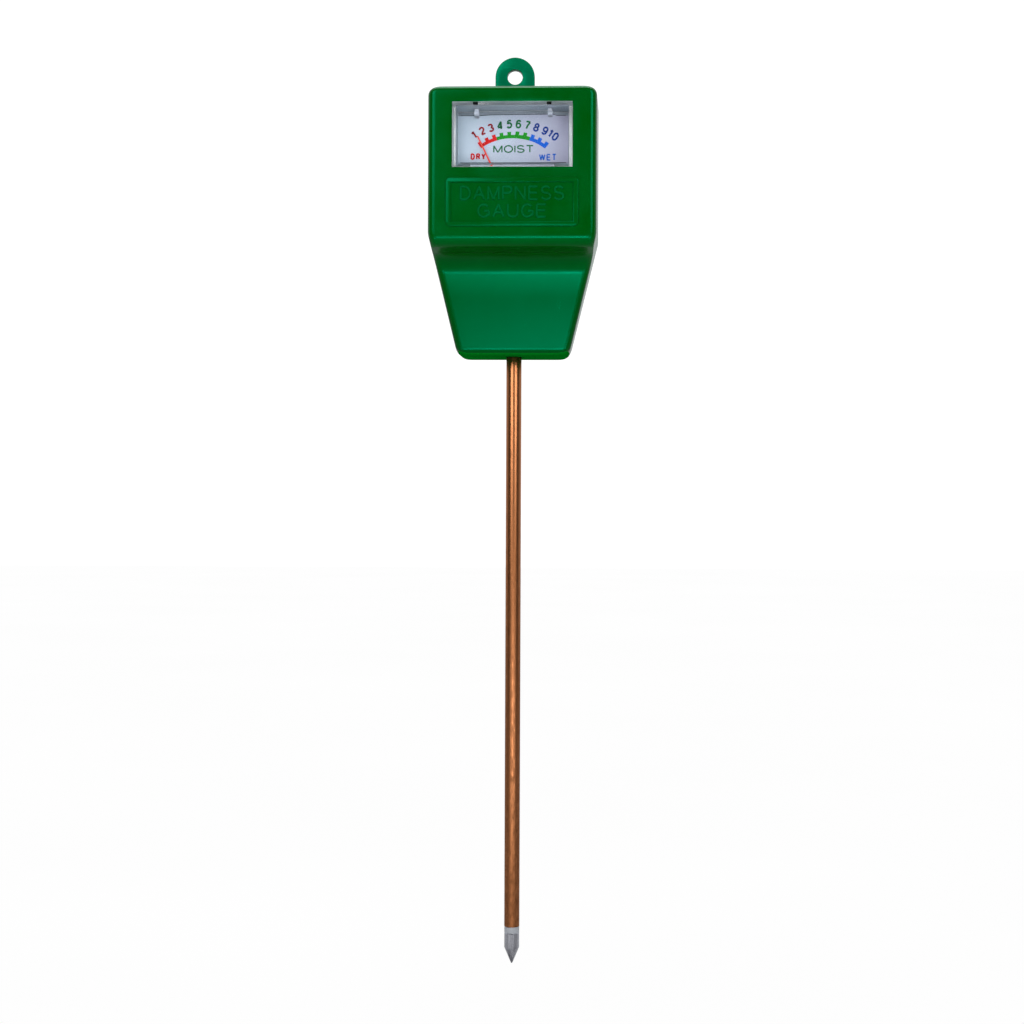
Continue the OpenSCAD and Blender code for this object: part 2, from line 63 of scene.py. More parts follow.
def rounded(corners, radii, steps=8):
    """The corners of an outline, rounded off; a corner of radius 0 stays sharp."""
    points = []
    for i, (corner, radius) in enumerate(zip(corners, radii)):
        middle = Vector(corner)
        if radius == 0:
            points.append(middle)
            continue
        back = (Vector(corners[i - 1]) - middle).normalized()
        onward = (Vector(corners[(i + 1) % len(corners)]) - middle).normalized()
        half = back.angle(onward) / 2
        centre = middle + (back + onward).normalized() * radius / math.sin(half)
        first = (middle + back * radius / math.tan(half) - centre).normalized()
        last = (middle + onward * radius / math.tan(half) - centre).normalized()
        points += [centre + first.slerp(last, k / steps) * radius for k in range(steps + 1)]
    return points


def in_scene(name, data):
    """An object of that data, linked to the scene."""
    made = bpy.data.objects.new(name, data)
    bpy.context.scene.collection.objects.link(made)
    return made


def evaluated(holder):
    """The plain mesh that an object's curve or modifiers come to; the object is removed."""
    graph = bpy.context.evaluated_depsgraph_get()
    mesh = bpy.data.meshes.new_from_object(holder.evaluated_get(graph))
    bpy.data.objects.remove(holder)
    return mesh


def mesh_of(name, work):
    """A mesh of what was built in a bmesh, which is freed."""
    mesh = bpy.data.meshes.new(name)
    work.to_mesh(mesh)
    work.free()
    return mesh


STAND_UP = Matrix.Rotation(math.pi / 2, 4, "X")    # turns what lies flat to face the reader


def plate(outlines, front, back, edge=0.0):
    """A plate cut to (x, z) outlines, each after the first a hole, with its edges rounded."""
    curve = bpy.data.curves.new("plate", "CURVE")
    curve.dimensions = "2D"
    curve.fill_mode = "BOTH"
    curve.extrude = (back - front) / 2 - edge
    curve.bevel_depth = edge
    curve.offset = -edge
    curve.bevel_resolution = 2
    for outline in outlines:
        spline = curve.splines.new("POLY")
        spline.points.add(len(outline) - 1)
        for point, (x, z) in zip(spline.points, outline):
            point.co = (x, z, 0, 1)
        spline.use_cyclic_u = True
    work = bmesh.new()
    work.from_mesh(evaluated(in_scene("plate", curve)))
    bmesh.ops.remove_doubles(work, verts=work.verts, dist=1e-4)
    mesh = mesh_of("plate", work)
    mesh.transform(Matrix.Translation((0, (front + back) / 2, 0)) @ STAND_UP)
    return mesh


def bow(x, y, width, height, start, end):
    """Part of an oval from one angle to another, in degrees, in a letter's unit box."""
    turns = max(3, round(abs(end - start) / 22.5))
    angles = [math.radians(start + (end - start) * k / turns) for k in range(turns + 1)]
    return [(x + width * math.cos(a), y + height * math.sin(a)) for a in angles]


# Plain letters and figures as strokes in a unit box, after their width for a height of 1
LETTERS = {
    "1": (0.34, [[(0, 0.76), (0.55, 0.86), (0.85, 1)], [(0.85, 1), (0.85, 0)]]),
    "2": (0.58, [bow(0.5, 0.72, 0.5, 0.28, 170, -35) + [(0, 0.02)], [(0, 0), (1, 0)]]),
    "3": (0.58, [bow(0.48, 0.75, 0.46, 0.25, 160, -90), bow(0.48, 0.26, 0.52, 0.26, 90, -160)]),
    "4": (0.62, [[(0.74, 0), (0.74, 1)], [(0.74, 1), (0, 0.3)], [(0, 0.27), (1, 0.27)]]),
    "5": (0.58, [[(0.92, 1), (0.18, 1)], [(0.18, 1), (0.06, 0.5)],
        bow(0.48, 0.33, 0.52, 0.33, 145, -155)]),
    "6": (0.58, [bow(0.52, 0.68, 0.5, 0.32, 30, 180) + [(0, 0.32)],
        bow(0.5, 0.31, 0.5, 0.31, 0, 360)]),
    "7": (0.58, [[(0, 1), (1, 1)], [(1, 0.98), (0.55, 0.5), (0.36, 0)]]),
    "8": (0.58, [bow(0.5, 0.76, 0.42, 0.24, 0, 360), bow(0.5, 0.26, 0.5, 0.26, 0, 360)]),
    "9": (0.58, [bow(0.48, 0.32, 0.5, 0.32, 210, 360) + [(1, 0.68)],
        bow(0.5, 0.69, 0.5, 0.31, 0, 360)]),
    "0": (0.58, [bow(0.5, 0.66, 0.5, 0.34, 0, 180) + bow(0.5, 0.34, 0.5, 0.34, 180, 360)
        + [(1, 0.66)]]),
    "A": (0.80, [[(0, 0), (0.5, 1)], [(0.5, 1), (1, 0)], [(0.2, 0.36), (0.8, 0.36)]]),
    "D": (0.74, [[(0, 0), (0, 1)], [(0, 1), (0.4, 1)] + bow(0.4, 0.5, 0.6, 0.5, 90, -90)
        + [(0, 0)]]),
    "E": (0.66, [[(0, 0), (0, 1)], [(0, 1), (1, 1)], [(0, 0.52), (0.92, 0.52)],
        [(0, 0), (1, 0)]]),
    "G": (0.82, [bow(0.5, 0.5, 0.5, 0.5, 40, 320) + [(1, 0.12)], [(1, 0.12), (1, 0.48)],
        [(1, 0.48), (0.56, 0.48)]]),
    "I": (0.0, [[(0.5, 0), (0.5, 1)]]),
    "M": (0.84, [[(0, 0), (0, 1)], [(0, 1), (0.5, 0)], [(0.5, 0), (1, 1)], [(1, 1), (1, 0)]]),
    "N": (0.74, [[(0, 0), (0, 1)], [(0, 1), (1, 0)], [(1, 0), (1, 1)]]),
    "O": (0.84, [bow(0.5, 0.5, 0.5, 0.5, 0, 360)]),
    "P": (0.68, [[(0, 0), (0, 1)], [(0, 1), (0.6, 1)] + bow(0.6, 0.75, 0.4, 0.25, 90, -90)
        + [(0, 0.5)]]),
    "R": (0.72, [[(0, 0), (0, 1)], [(0, 1), (0.6, 1)] + bow(0.6, 0.76, 0.38, 0.24, 90, -90)
        + [(0, 0.52)], [(0.62, 0.52), (1, 0)]]),
    "S": (0.70, [bow(0.5, 0.75, 0.46, 0.25, 20, 270) + bow(0.5, 0.25, 0.5, 0.25, 90, -160)]),
    "T": (0.70, [[(0, 1), (1, 1)], [(0.5, 1), (0.5, 0)]]),
    "U": (0.74, [[(0, 1), (0, 0.34)] + bow(0.5, 0.34, 0.5, 0.34, 180, 360) + [(1, 1)]]),
    "W": (1.10, [[(0, 1), (0.25, 0)], [(0.25, 0), (0.5, 1)], [(0.5, 1), (0.75, 0)],
        [(0.75, 0), (1, 1)]]),
    "Y": (0.74, [[(0, 1), (0.5, 0.45)], [(1, 1), (0.5, 0.45)], [(0.5, 0.45), (0.5, 0)]]),
}


def stroke(work, path, thick, front, back, edge):
    """A stroke of even thickness along a path in x and z, with its front edges chamfered."""
    path = [Vector(p) for p in path]
    closed = (path[0] - path[-1]).length < 1e-4
    if closed:
        path.pop()
    count = len(path)
    sections = []
    for i, point in enumerate(path):
        before = path[i - 1] if i or closed else point
        after = path[(i + 1) % count] if i < count - 1 or closed else point
        ways = [w.normalized() for w in (point - before, after - point) if w.length > 1e-6]
        way = sum(ways, Vector((0, 0))).normalized()
        side = Vector((-way.y, way.x)) * thick / 2 / max(way.dot(ways[0]), 0.6)
        inner = side * max(0, 1 - 2 * edge / thick)
        sections.append([work.verts.new((p.x, y, p.y)) for p, y in (
            (point - side, back), (point - side, front + edge), (point - inner, front),
            (point + inner, front), (point + side, front + edge), (point + side, back))])
    pairs = list(zip(sections, sections[1:])) + ([(sections[-1], sections[0])] if closed else [])
    for first, second in pairs:
        for k in range(6):
            work.faces.new((first[k], first[(k + 1) % 6], second[(k + 1) % 6], second[k]))
    if not closed:
        work.faces.new(sections[0])
        work.faces.new(sections[-1])


def words(text, cap, width, front, back, thick, edge=0.0):
    """Upright words or figures of that height and width, drawn in strokes over the origin."""
    gap = 0.14
    natural = sum(LETTERS[c][0] for c in text) * (cap - thick) \
        + len(text) * thick + (len(text) - 1) * gap * cap
    if width is None:
        width = natural
    spare = (width - natural) / (sum(LETTERS[c][0] for c in text) or 1)
    work = bmesh.new()
    x = -width / 2
    for letter in text:
        breadth = LETTERS[letter][0] * (cap - thick + spare)
        for path in LETTERS[letter][1]:
            stroke(work, [(x + thick / 2 + u * breadth, (v - 0.5) * (cap - thick))
                for u, v in path], thick, front, back, edge)
        x += breadth + thick + gap * cap
    bmesh.ops.recalc_face_normals(work, faces=work.faces)
    return mesh_of("words", work)


def piece(name, body, finish, *meshes, crease=35):
    """One piece of the object, from meshes in millimetres, that rides on a body."""
    work = bmesh.new()
    for mesh in meshes:
        work.from_mesh(mesh)
    bmesh.ops.scale(work, vec=(MM, MM, MM), verts=work.verts)
    whole = mesh_of(name, work)
    whole.materials.clear()         # puts every face in the first slot
    whole.materials.append(finish)
    whole.shade_smooth()
    whole.set_sharp_from_angle(angle=math.radians(crease))
    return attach(in_scene(name, whole), body)


def shaped(mesh, *modifiers):
    """The mesh after modifiers, each given as its kind and its settings."""
    holder = in_scene("work", mesh)
    for kind, settings in modifiers:
        modifier = holder.modifiers.new(kind.lower(), kind)
        for key, value in settings.items():
            setattr(modifier, key, value)
    return evaluated(holder)


def cut(mesh, cutter, **settings):
    """The mesh with the shape of another cut out of it."""
    holder = in_scene("cutter", cutter)
    result = shaped(mesh, ("BOOLEAN", {"operation": "DIFFERENCE", "object": holder,
        "solver": "EXACT", **settings}))
    bpy.data.objects.remove(holder)
    return result


class Wire:
    """An output of a finish's nodes; an expression on it adds the Math nodes it needs."""

    def __init__(self, finish, socket):
        self.finish, self.socket = finish, socket

    def maths(self, operation, *values):
        return self.finish.node("Math", {"operation": operation}, dict(enumerate(values)))

    def __add__(self, other):
        return self.maths("ADD", self, other)

    def __mul__(self, other):
        return self.maths("MULTIPLY", self, other)

    __radd__ = __add__
    __rmul__ = __mul__


class Finish:
    """A material that is built of nodes."""

    def __init__(self, name):
        self.material = bpy.data.materials.new(name)
        self.material.use_nodes = True
        self.tree = self.material.node_tree
        self.tree.nodes.clear()
        self.place = self.node("TexCoord", {}, {}, "Object")

    def node(self, kind, settings, sockets, output=0):
        """Adds a node: its settings first, then the values or links of its sockets."""
        made = self.tree.nodes.new("ShaderNode" + kind)
        for key, value in settings.items():
            setattr(made, key, value)
        for key, value in sockets.items():
            if isinstance(value, Wire):
                self.tree.links.new(value.socket, made.inputs[key])
            elif isinstance(value, tuple) and len(value) == 3 and made.inputs[key].type == "RGBA":
                made.inputs[key].default_value = (*value, 1)
            else:
                made.inputs[key].default_value = value
        return Wire(self, made.outputs[output])

    def stretched(self, scale):
        """The place on the object, in millimetres, squeezed or stretched along each axis."""
        return self.node("Mapping", {}, {"Vector": self.place,
            "Scale": tuple(s / MM for s in scale)})

    def noise(self, scale, detail=3.0, roughness=0.5):
        """Soft noise from 0 to 1; scale is in lumps per millimetre, along each axis."""
        return self.node("TexNoise", {}, {"Vector": self.stretched(scale), "Scale": 1.0,
            "Detail": detail, "Roughness": roughness})

    def spread(self, value, low, high):
        """A value of 0 to 1, spread from low to high around the middle."""
        return self.node("MapRange", {}, {"Value": value, "From Min": 0.3, "From Max": 0.7,
            "To Min": low, "To Max": high})

    def blended(self, mask, first, second):
        """The first colour where the mask is 0 and the second where it is 1."""
        return self.node("Mix", {"data_type": "RGBA"}, {0: mask, 6: first, 7: second}, 2)

    def bumped(self, height, strength, distance):
        return self.node("Bump", {}, {"Height": height, "Strength": strength,
            "Distance": distance * MM})

    def coated(self, sockets):
        """Finishes with one surface shader, and gives the material."""
        return self.output(self.node("BsdfPrincipled", {}, sockets))

    def passing_shadows(self, surface):
        """Finishes with a surface that lets nearly all of the light through."""
        passing = self.node("BsdfTransparent", {}, {"Color": (0.93, 0.94, 0.96)})
        shadow = self.node("LightPath", {}, {}, "Is Shadow Ray")
        return self.output(self.node("MixShader", {}, {0: shadow, 1: surface, 2: passing}))

    def output(self, surface):
        out = self.tree.nodes.new("ShaderNodeOutputMaterial")
        self.tree.links.new(surface.socket, out.inputs["Surface"])
        return self.material


def green_plastic(name, deep, pale, foot_shade, rise, sheen=0.4):
    """Satin green plastic: its pigment is a little uneven, and below the rise it turns to the
    foot tone, which is painted shade.
    """
    finish = Finish(name)
    clouds = finish.noise((0.12, 0.12, 0.09), 3.0, 0.6)
    specks = finish.noise((3.0, 3.0, 3.0), 2.0, 0.6)
    grain = finish.noise((7.0, 7.0, 7.0), 2.0)
    height = finish.node("SeparateXYZ", {}, {0: finish.place}, "Z")
    # The foot tone below the rise is painted shade, not a change in the plastic
    low = finish.node("MapRange", {"interpolation_type": "SMOOTHSTEP"}, {"Value": height,
        "From Min": rise[0] * MM, "From Max": rise[1] * MM, "To Min": 1.0, "To Max": 0.0})
    body = finish.blended(finish.spread(clouds * 0.8 + specks * 0.2, 0.0, 1.0), deep, pale)
    return finish.coated({
        "Base Color": finish.blended(low, body, foot_shade),
        "Roughness": finish.spread(clouds * 0.7 + specks * 0.3, 0.20, 0.28),
        "Specular IOR Level": sheen,
        "Specular Tint": (0.0, 0.8, 0.45),
        "Normal": finish.bumped(grain * 0.4 + clouds * 0.6, 0.12, 0.06),
    })


# The front's foot tone is darker than its head's green: painted shade on the grip
front_green = green_plastic("front_green", (0.0, 0.061, 0.0), (0.0, 0.071, 0.003),
    (0.0, 0.054, 0.001), (16, 30))
# The underside's green is over twice as light as the front's: painted light on faces turned to
# the floor; its lack of sheen is the matt finish
underside_lit_green = green_plastic("underside_lit_green", (0.0, 0.165, 0.008), (0.0, 0.175, 0.01),
    (0.0, 0.165, 0.01), (20, 30), 0.0)

case_low, case_high = box_of("front_housing")
case_half = case_high.x
case_height = case_high.z
panel_height = 0.5
front_depth = -case_low.y - panel_height
foot_half = 18.5
foot_depth = 10.0
taper_top = 37.2            # up to here the grip's sides spread
cove_height = 31.0          # up to here the grip's face is flat
cove_depth = 12.3
lip_height = 33.5           # here the lip has come out to the head's face
wall = 2.0
front_draft = 0.85          # how much narrower the head is at its front
corner_radius = 2.2
end_step = 0.6              # how far the flat foot and top are drawn in
flat_rows = {18.0, 45.0, 53.0}      # heights where a flat stretch has one more row of faces

# The case's half width and its front's depth, up its height, as (height, distance), each
# with the radii of its corners
case_side = rounded([(0, 0), (0, foot_half), (taper_top, case_half),
    (case_height, case_half), (case_height, 0)], [0, 3.4, 9, 3, 0])[1:-1]
front_profile = rounded([(0, 0), (0, foot_depth), (cove_height, cove_depth),
    (lip_height, front_depth), (case_height, front_depth), (case_height, 0)],
    [0, 2, 7, 3.6, 2, 0])[1:-1]

lens_low, lens_high = box_of("meter_cover")
lens_gap = 0.1
window_height = 20.8
window_half = lens_high.x + lens_gap
window_top = lens_high.z + lens_gap
window_bottom = window_top - window_height


def at_height(line, z):
    """How far out a line of (height, distance) stands at a height."""
    for (z0, d0), (z1, d1) in zip(line, line[1:]):
        if z0 < z1 and z0 - 1e-6 <= z <= z1 + 1e-6:
            return d0 + (d1 - d0) * (z - z0) / (z1 - z0)
    return line[-1][1]


def half_ring(z, profile, side, draft, radius, shrink=0.0):
    """The case's outline at a height, from the parting plane round to its far side."""
    half = at_height(case_side, z) - shrink
    depth = at_height(profile, z) - shrink
    flat = depth - radius
    narrowing = draft * flat / max(d for _, d in profile)
    inner = half - narrowing - radius
    ring = [(half - narrowing * t, t * flat) for t in (0, 0.04, 0.5, 0.96, 1)]
    arc = 6
    ring += [(inner + radius * math.cos(a), flat + radius * math.sin(a))
        for a in (math.pi / 2 * k / arc for k in range(1, arc + 1))]
    across = window_half / (case_half - front_draft - corner_radius)
    ring += [(inner * f, depth) for f in (0.98, across, across / 2, 0)]
    ring += [(-x, y) for x, y in reversed(ring[:-1])]
    return [Vector((x, side * y, z)) for x, y in ring]


def moulding(profile, side, draft, radius, window=()):
    """One half of the case as an open skin, from its foot to its top."""
    heights = {round(z, 3) for z, _ in list(case_side) + list(profile)}
    heights |= flat_rows | set(window)
    rings = [half_ring(0, profile, side, draft, radius, end_step)]
    rings += [half_ring(z, profile, side, draft, radius) for z in sorted(heights)]
    rings += [half_ring(case_height, profile, side, draft, radius, end_step)]
    work = bmesh.new()
    grid = [[work.verts.new(p) for p in ring] for ring in rings]
    for lower, upper in zip(grid, grid[1:]):
        for i in range(len(lower) - 1):
            quad = (lower[i], lower[i + 1], upper[i + 1], upper[i])
            middle = sum((v.co for v in quad), Vector()) / 4
            if window and abs(middle.x) < window_half and window[0] < middle.z < window[1] \
                    and abs(middle.y) > front_depth - 0.01:
                continue
            work.faces.new(quad)
    work.faces.new(grid[0])
    work.faces.new(grid[-1])
    bmesh.ops.recalc_face_normals(work, faces=work.faces)
    outward = max(work.faces, key=lambda f: abs(f.calc_center_median().y))
    if outward.normal.y * side < 0:
        bmesh.ops.reverse_faces(work, faces=work.faces)
    return mesh_of("moulding", work)


def bored(mesh, *holes):
    """The mesh with round holes cut in it, each given as (centre, radius, length, axis)."""
    for centre, radius, length, axis in holes:
        work = bmesh.new()
        bmesh.ops.create_cone(work, cap_ends=True, segments=48, radius1=radius, radius2=radius,
            depth=length, matrix=Matrix.Translation(centre)
            @ (STAND_UP if axis == "Y" else Matrix()))
        mesh = cut(mesh, mesh_of("drill", work))
    return mesh


thicken = ("SOLIDIFY", {"thickness": wall, "offset": -1, "use_even_offset": True})


def broken_edges(width):
    """A modifier that takes the sharpness off every edge."""
    return ("BEVEL", {"width": width, "segments": 2, "limit_method": "ANGLE",
        "angle_limit": math.radians(50)})


soften = broken_edges(0.16)
bore_radius = 2.56
bore_length = 8
probe_hole = ((0, 0, 0), bore_radius, bore_length, "Z")

front_skin = moulding(front_profile, -1, front_draft, corner_radius,
    (window_bottom, window_top))
front_shell = bored(shaped(front_skin, thicken, soften), probe_hole)

# The panel's frame has round outer corners and square inner ones
panel_z = 47.0
panel_size = (42.1, 15.5)
panel_inner = (38.7, 12.4)
panel_corner = 1.6
panel_edge = 0.22
panel_root = 0.4            # how far the frame and the letters reach into the wall
letter_root = 0.3


def oblong(width, height, middle, radius=0.0):
    x, z = width / 2, height / 2
    return rounded([(-x, middle - z), (x, middle - z), (x, middle + z), (-x, middle + z)],
        [radius] * 4)


panel = plate([oblong(*panel_size, panel_z, panel_corner), oblong(*panel_inner, panel_z)],
    -front_depth - panel_height, -front_depth + panel_root, panel_edge)
letter_height = 0.48
letter_stroke = 0.66
letter_edge = 0.28
panel_words = []
for text, z, cap, width in (("DAMPNESS", 49.8, 4.7, 33.1), ("GAUGE", 44.2, 4.6, 22.0)):
    row = words(text, cap, width, -front_depth - letter_height, -front_depth + letter_root,
        letter_stroke, letter_edge)
    row.transform(Matrix.Translation((0, 0, z)))
    panel_words.append(row)

# A paler copy of the green for the raised letters: painted highlight
painted_highlight_green = green_plastic("painted_highlight_green", (0.0, 0.095, 0.014), (0.0, 0.115, 0.026),
    (0.0, 0.10, 0.02), (20, 30))


foot_zone = 1.5


def matt_foot(made):
    """The flat faces under the case have a matt finish, in a much lighter green that is painted
    light on these shaded faces.
    """
    made.data.materials.append(underside_lit_green)
    for face in made.data.polygons:
        if face.normal.z < -0.7 and face.center.z < foot_zone * MM:
            face.material_index = 1


front = piece("front_moulding", "case", front_green, front_shell, panel, *panel_words)
matt_foot(front)

# The raised letters are painted a little paler than the panel: a painted highlight on their
# relief
front.data.materials.append(painted_highlight_green)
letters_half = (panel_inner[0] / 2 - 0.2, panel_inner[1] / 2 - 0.2)
for face in front.data.polygons:
    at = face.center / MM
    if at.y < -front_depth - 0.05 and abs(at.x) < letters_half[0] \
            and abs(at.z - panel_z) < letters_half[1]:
        face.material_index = 2
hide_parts("front_housing")

# ---- Back moulding ----
# The back half of the case: the same green plastic from another tool, shallower, flat
# behind, with four sunk holes for its screws. The hanging tab stands on its top edge.

# The back's green is painted about twice as light as the front's, and darker below the rise:
# painted light on the back and its tab
back_green_painted_light = green_plastic("back_green_painted_light", (0.0, 0.125, 0.048), (0.0, 0.140, 0.062),
    (0.0, 0.115, 0.035), (60, 84))

back_high = box_of("back_cover")[1]
back_depth = back_high.y
back_corner = 2
back_draft = 0.5
back_profile = rounded([(0, 0), (0, back_depth), (case_height, back_depth), (case_height, 0)],
    [0, back_corner, back_corner, 0])[1:-1]
head_sink = 1.7
head_recess = 2.9
screw_places = [(22.4, case_height - 5.1), (13.0, 4.9)]
screw_places += [(-x, z) for x, z in screw_places]

back_skin = moulding(back_profile, 1, back_draft, back_corner)
back_shell = bored(shaped(back_skin, thicken, soften), probe_hole,
    *[((x, back_depth, z), head_recess, 2 * head_sink, "Y") for x, z in screw_places])

tab_radius = 6.5
tab_hole = 2.5
tab_z = back_high.z - tab_radius
tab_thickness = 3.0
tab_edge = 0.3
tab_foot = case_height - 1.5    # the tab is rooted in the top wall


def round_the_tab(radius, part):
    """A point round the tab's centre, at a part of a whole turn."""
    return (radius * math.cos(math.tau * part), tab_z + radius * math.sin(math.tau * part))


tab_outline = [(tab_radius, tab_foot), *[round_the_tab(tab_radius, k / 64) for k in range(33)],
    (-tab_radius, tab_foot)]
tab_hole_outline = [round_the_tab(tab_hole, k / 48) for k in range(48)]
tab = plate([tab_outline, tab_hole_outline], 0, tab_thickness, tab_edge)

back = piece("back_moulding", "case", back_green_painted_light, back_shell, tab)
matt_foot(back)
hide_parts("back_cover")

# ---- Case screws ----
# Four zinc-plated self-tapping screws with pan heads and cross recesses hold the two
# mouldings together; their heads sit in the back moulding's sunk holes.


def lathe(profile, sides=64, closed=False):
    """A shape turned about Z from a profile of (radius, height)."""
    work = bmesh.new()
    rings = []
    for radius, height in profile:
        if radius == 0:
            rings.append([work.verts.new((0, 0, height))] * sides)
        else:
            rings.append([work.verts.new((radius * math.cos(math.tau * k / sides),
                radius * math.sin(math.tau * k / sides), height)) for k in range(sides)])
    pairs = list(zip(rings, rings[1:])) + ([(rings[-1], rings[0])] if closed else [])
    for lower, upper in pairs:
        for k in range(sides):
            corners = [lower[k], lower[(k + 1) % sides], upper[(k + 1) % sides], upper[k]]
            unique = [v for i, v in enumerate(corners) if v not in corners[:i]]
            if len(unique) > 2:
                work.faces.new(unique)
    bmesh.ops.recalc_face_normals(work, faces=work.faces)
    return mesh_of("turned", work)


def metal(name, colour, dull, roughness, grain, relief=0.02, amount=0.6, ground=0.0):
    """Bare or plated metal: a grain of that scale, and duller patches or ground streaks; where
    ground is 1, the light and dark streaks are partly grinding grain and partly painted
    reflection.
    """
    finish = Finish(name)
    lines = finish.noise(grain, 4.0, 0.6)
    patches = finish.noise((0.35, 0.35, 0.35), 3.0)
    return finish.coated({
        "Base Color": finish.blended(finish.spread(patches * (1 - ground) + lines * ground,
            0.0, amount), colour, dull),
        "Metallic": 1.0,
        "Roughness": finish.spread(lines * 0.5 + patches * 0.5, roughness - 0.07,
            roughness + 0.1),
        "Normal": finish.bumped(lines, 0.3, relief),
    })


plated_steel = metal("plated_steel", (0.62, 0.62, 0.60), (0.42, 0.41, 0.38), 0.30,
    (2.0, 2.0, 2.0))


class Tree:
    """A Geometry Nodes tree, with its inputs named and its result handed out at the end."""

    def __init__(self, name, inputs):
        self.group = bpy.data.node_groups.new(name, "GeometryNodeTree")
        self.sockets = {}
        for label, (kind, value) in {"Geometry": ("Geometry", None), **inputs}.items():
            socket = self.group.interface.new_socket(label, in_out="INPUT",
                socket_type="NodeSocket" + kind)
            self.sockets[label] = (socket.identifier, value)
        self.group.interface.new_socket("Geometry", in_out="OUTPUT",
            socket_type="NodeSocketGeometry")
        self.inputs = self.group.nodes.new("NodeGroupInput").outputs

    def node(self, kind, settings=None, links=None, output=0):
        """Adds a node: its settings first, then the values or links of its sockets."""
        made = self.group.nodes.new(kind)
        for key, value in (settings or {}).items():
            setattr(made, key, value)
        for key, value in (links or {}).items():
            if isinstance(value, bpy.types.NodeSocket):
                self.group.links.new(value, made.inputs[key])
            else:
                made.inputs[key].default_value = value
        return made.outputs[output]

    def maths(self, operation, first, second=0.0):
        return self.node("ShaderNodeMath", {"operation": operation}, {0: first, 1: second})

    def run(self, instances, start):
        """Realizes the instances, gives them their finish, and returns the plain mesh."""
        solid = self.node("GeometryNodeRealizeInstances", None, {"Geometry": instances})
        done = self.node("GeometryNodeSetMaterial", None,
            {"Geometry": solid, "Material": self.inputs["Finish"]})
        out = self.group.nodes.new("NodeGroupOutput")
        self.group.links.new(done, out.inputs["Geometry"])
        holder = in_scene("work", start)
        modifier = holder.modifiers.new("nodes", "NODES")
        modifier.node_group = self.group
        for identifier, value in self.sockets.values():
            if value is not None:
                modifier[identifier] = value
        return evaluated(holder)


head_radius = 2.7
head_height = 1.3
shank_radius = 1.25
shank_length = 15.0
point_length = 1.8
cross_size = (3.3, 0.72, 1.7)       # each slot of the cross recess
pan_head = lathe([(0, -shank_length), (0.4, -shank_length + 0.1),
    (shank_radius, -shank_length + point_length), (shank_radius, 0), (head_radius - 0.1, 0),
    (head_radius, 0.12), (head_radius, 0.55), (2.5, 0.92), (2.0, 1.16),
    (1.2, head_height - 0.02), (0, head_height)], 40)
work = bmesh.new()
for turn in (0, math.pi / 2):
    bmesh.ops.create_cube(work, size=1, matrix=Matrix.Translation((0, 0, head_height))
        @ Matrix.Rotation(turn, 4, "Z") @ Matrix.Diagonal((*cross_size, 1)))
screw_mesh = cut(pan_head, mesh_of("cross", work), use_self=True)
screw_mesh.transform(Matrix.Rotation(-math.pi / 2, 4, "X"))     # the head faces +Y
screw_holder = in_scene("screw", screw_mesh)

seats = bpy.data.meshes.new("seats")
seats.from_pydata([(x, back_depth - head_sink, z) for x, z in screw_places], [], [])
screws = Tree("case_screws", {"Screw": ("Object", screw_holder),
    "Seed": ("Int", 4), "Finish": ("Material", plated_steel)})
driven = screws.node("FunctionNodeRandomValue", {"data_type": "FLOAT"},
    {"Min": 0.0, "Max": math.pi, "Seed": screws.inputs["Seed"]}, "Value")
turned = screws.node("ShaderNodeCombineXYZ", None, {"Y": driven})
shape = screws.node("GeometryNodeObjectInfo", None, {"Object": screws.inputs["Screw"]},
    "Geometry")
set_out = screws.node("GeometryNodeInstanceOnPoints", None,
    {"Points": screws.inputs["Geometry"], "Instance": shape, "Rotation": turned})
case_screws = piece("case_screws", "case", plated_steel, screws.run(set_out, seats))
bpy.data.objects.remove(screw_holder)
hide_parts("cover_screws")

# ---- Meter cover ----
# A clear polystyrene box moulded in one piece: its front fills the window, its lower part
# covers the movement behind the wall. Two pegs in its roof hold the card down, and a blind
# slot in the roof's front edge over each peg was left by the tool.


def clear_plastic():
    finish = Finish("clear_plastic")
    waves = finish.noise((0.25, 0.25, 0.25), 2.0)
    dust = finish.noise((4.0, 4.0, 4.0), 2.0)
    glass = finish.node("BsdfPrincipled", {}, {
        "Base Color": finish.blended(finish.spread(waves, 0.0, 1.0), (0.93, 0.95, 0.97),
            (0.97, 0.98, 1.0)),
        "Roughness": finish.spread(dust, 0.015, 0.05),
        "IOR": 1.5,
        "Transmission Weight": 1.0,
        "Normal": finish.bumped(waves, 0.05, 0.02),
    })
    return finish.passing_shadows(glass)


def hazy_plastic(name, light, dark):
    """The cover's clear walls, pegs and edges are painted opaque grey and white: painted
    reflection, and on the outer edges a painted highlight.
    """
    finish = Finish(name)
    lines = finish.noise((0.05, 2.5, 2.5), 3.0, 0.6)
    wall_reflection_paint = finish.node("BsdfPrincipled", {}, {
        "Base Color": finish.blended(finish.spread(lines, 0.0, 1.0), light, dark),
        "Roughness": finish.spread(lines, 0.25, 0.45),
        "Normal": finish.bumped(lines, 0.3, 0.03),
    })
    return finish.passing_shadows(wall_reflection_paint)


# The faces inside each blind slot are painted near-black: painted shade in the slot
def dark_hollow():
    finish = Finish("dark_hollow")
    shade = finish.noise((2.0, 2.0, 2.0))
    return finish.coated({
        "Base Color": finish.blended(shade, (0.004, 0.004, 0.005), (0.012, 0.012, 0.014)),
        "Roughness": finish.spread(shade, 0.6, 0.8)})


def merged(node):
    """A copy of a CAD node's mesh, in millimetres, with its loose triangles joined."""
    work = bmesh.new()
    work.from_mesh(frame["nodes"][node].data)
    bmesh.ops.scale(work, vec=(1 / MM,) * 3, verts=work.verts)
    bmesh.ops.remove_doubles(work, verts=work.verts, dist=1e-3)
    bmesh.ops.dissolve_limit(work, angle_limit=math.radians(1), verts=work.verts,
        edges=work.edges)
    return mesh_of(node, work)


